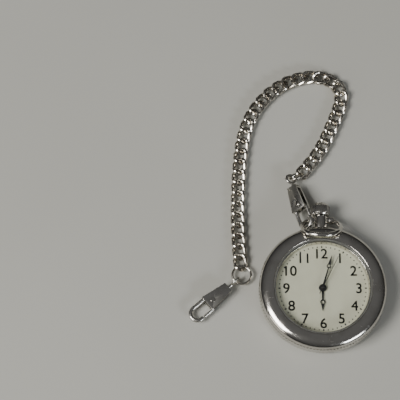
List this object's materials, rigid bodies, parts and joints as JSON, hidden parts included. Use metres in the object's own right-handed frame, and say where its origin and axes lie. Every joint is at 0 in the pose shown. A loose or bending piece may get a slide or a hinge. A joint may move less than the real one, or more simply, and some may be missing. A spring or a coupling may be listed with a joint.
{
  "type": "pocket watch",
  "caption": "Open-face pocket watch with a domed bezel, coin edge, crown and bow, and a curb chain with a swivel clasp at each end.",
  "frame": {"origin": "middle of the flat on the watch's back, on the surface that the watch lies on", "axes": "+Z out through the crystal, +Y to 12 o'clock and the crown, +X to 3 o'clock"},
  "size_m": [0.0651, 0.1004, 0.0139],
  "materials": {
    "polished_steel": "polished",
    "chain_steel": "polished, lightly worn",
    "crystal": "clear",
    "dial_enamel": "satin cream enamel",
    "black_hands": "gloss black",
    "brass": "satin",
    "tool_steel": "satin",
    "blued_steel": "blued",
    "rubber": "matt",
    "white_plastic": "matt",
    "board": "satin",
    "copper_wire": "enamelled wire"
  },
  "bodies": {
    "case": {"case_middle": "polished_steel", "case_back": "polished_steel", "back_gasket": "rubber", "bezel": "polished_steel", "crystal": "crystal", "crystal_gasket": "white_plastic", "dial": "dial_enamel", "pendant": "polished_steel", "movement_holder": "white_plastic", "main_plate": "brass", "train_bridge": "brass", "bridge_screws": "blued_steel", "battery": "tool_steel", "battery_clamp": "tool_steel", "circuit_board": "board", "quartz_can": "tool_steel", "coil": "copper_wire", "stator": "tool_steel", "bow_screws": "polished_steel"},
    "clutch": {"clutch_pinion": "tool_steel"},
    "crown": {"crown": "polished_steel", "stem": "tool_steel", "crown_gasket": "rubber"},
    "setting_lever": {"setting_lever": "tool_steel"},
    "bow": {"bow": "polished_steel"},
    "seconds_train": {"seconds_wheel": "brass", "seconds_hand": "black_hands"},
    "third_wheel": {"third_wheel": "brass"},
    "minute_train": {"centre_wheel": "brass", "cannon_pinion": "brass", "minute_hand": "black_hands"},
    "minute_wheel": {"minute_wheel": "brass"},
    "hour_train": {"hour_wheel": "brass", "hour_hand": "black_hands"},
    "intermediate_wheel": {"intermediate_wheel": "brass"},
    "rotor": {"rotor": "tool_steel"},
    "chain": {"chain_links": "chain_steel", "watch_end_ring": "chain_steel", "watch_swivel": "chain_steel"},
    "watch_clasp": {"watch_clasp_body": "chain_steel", "watch_clasp_rivet": "chain_steel"},
    "watch_gate": {"watch_clasp_gate": "chain_steel", "watch_clasp_spring": "tool_steel"},
    "far_end": {"far_end_ring": "chain_steel", "far_swivel": "chain_steel"},
    "far_clasp": {"far_clasp_body": "chain_steel", "far_clasp_rivet": "chain_steel"},
    "far_gate": {"far_clasp_gate": "chain_steel", "far_clasp_spring": "tool_steel"}
  },
  "joints": [
    {"name": "crown_turn", "type": "hinge", "parent": "case", "child": "clutch", "pos_m": [0, 0.0074, 0.00475], "axis": [0, 1, 0], "continuous": true},
    {"name": "crown_pull", "type": "slide", "parent": "clutch", "child": "crown", "axis": [0, 1, 0], "range_m": [0, 0.0009]},
    {"name": "setting_lever_turn", "type": "hinge", "parent": "case", "child": "setting_lever", "pos_m": [0.00254, 0.01015, 0.0054], "axis": [0, 0, 1], "range_deg": [-27, 0]},
    {"name": "bow_swing", "type": "hinge", "parent": "case", "child": "bow", "pos_m": [0, 0.024, 0.00475], "axis": [-1, 0, 0], "range_deg": [0, 60]},
    {"name": "seconds_turn", "type": "hinge", "parent": "case", "child": "seconds_train", "pos_m": [0, 0, 0.00475], "axis": [0, 0, -1], "continuous": true},
    {"name": "third_turn", "type": "hinge", "parent": "case", "child": "third_wheel", "pos_m": [-0.00371, 0.00214, 0.00475], "axis": [0, 0, -1], "continuous": true},
    {"name": "minute_turn", "type": "hinge", "parent": "case", "child": "minute_train", "pos_m": [0, 0, 0.00475], "axis": [0, 0, -1], "continuous": true},
    {"name": "minute_wheel_turn", "type": "hinge", "parent": "case", "child": "minute_wheel", "pos_m": [0, 0.00336, 0.00475], "axis": [0, 0, -1], "continuous": true},
    {"name": "hour_turn", "type": "hinge", "parent": "case", "child": "hour_train", "pos_m": [0, 0, 0.00475], "axis": [0, 0, -1], "continuous": true},
    {"name": "intermediate_turn", "type": "hinge", "parent": "case", "child": "intermediate_wheel", "pos_m": [0.00204, -0.00204, 0.00475], "axis": [0, 0, -1], "continuous": true},
    {"name": "rotor_turn", "type": "hinge", "parent": "case", "child": "rotor", "pos_m": [0.00402, -0.00402, 0.00475], "axis": [0, 0, -1], "continuous": true},
    {"name": "chain_swing", "type": "hinge", "parent": "case", "child": "chain", "pos_m": [-0.00493, 0.02315, 0.00566], "axis": [0, 0, 1], "range_deg": [-2, 3]},
    {"name": "watch_clasp_roll", "type": "hinge", "parent": "chain", "child": "watch_clasp", "pos_m": [-0.0096, 0.03943, 0.00298], "axis": [0.2722, -0.9494, 0.1564], "range_deg": [-4, 5]},
    {"name": "watch_gate_swing", "type": "hinge", "parent": "watch_clasp", "child": "watch_gate", "pos_m": [-0.00685, 0.02984, 0.00456], "axis": [0.6509, 0.062, -0.7566], "range_deg": [0, 4], "stiffness_Nm_per_rad": 0.002, "springref_deg": -11.46},
    {"name": "far_end_swing", "type": "hinge", "parent": "chain", "child": "far_end", "pos_m": [-0.02675, 0.00902, 0.00175], "axis": [0, 0, 1], "range_deg": [-8, 8]},
    {"name": "far_clasp_swivel", "type": "hinge", "parent": "far_end", "child": "far_clasp", "pos_m": [-0.02843, 0.00356, 0.00205], "axis": [-0.7547, -0.6561, 0], "continuous": true},
    {"name": "far_gate_swing", "type": "hinge", "parent": "far_clasp", "child": "far_gate", "pos_m": [-0.03605, -0.00307, 0.00205], "axis": [0, 0, -1], "range_deg": [0, 24], "stiffness_Nm_per_rad": 0.002, "springref_deg": -11.46}
  ],
  "couplings": [
    {"joint": "setting_lever_turn", "follows": "crown_pull", "rad_per_m": -517.48},
    {"joint": "third_turn", "follows": "seconds_turn", "ratio": -0.13333},
    {"joint": "minute_turn", "follows": "seconds_turn", "ratio": 0.016667},
    {"joint": "minute_wheel_turn", "follows": "seconds_turn", "ratio": -0.0055556},
    {"joint": "hour_turn", "follows": "seconds_turn", "ratio": 0.0013889},
    {"joint": "intermediate_turn", "follows": "seconds_turn", "ratio": -5},
    {"joint": "rotor_turn", "follows": "seconds_turn", "ratio": 30}
  ]
}
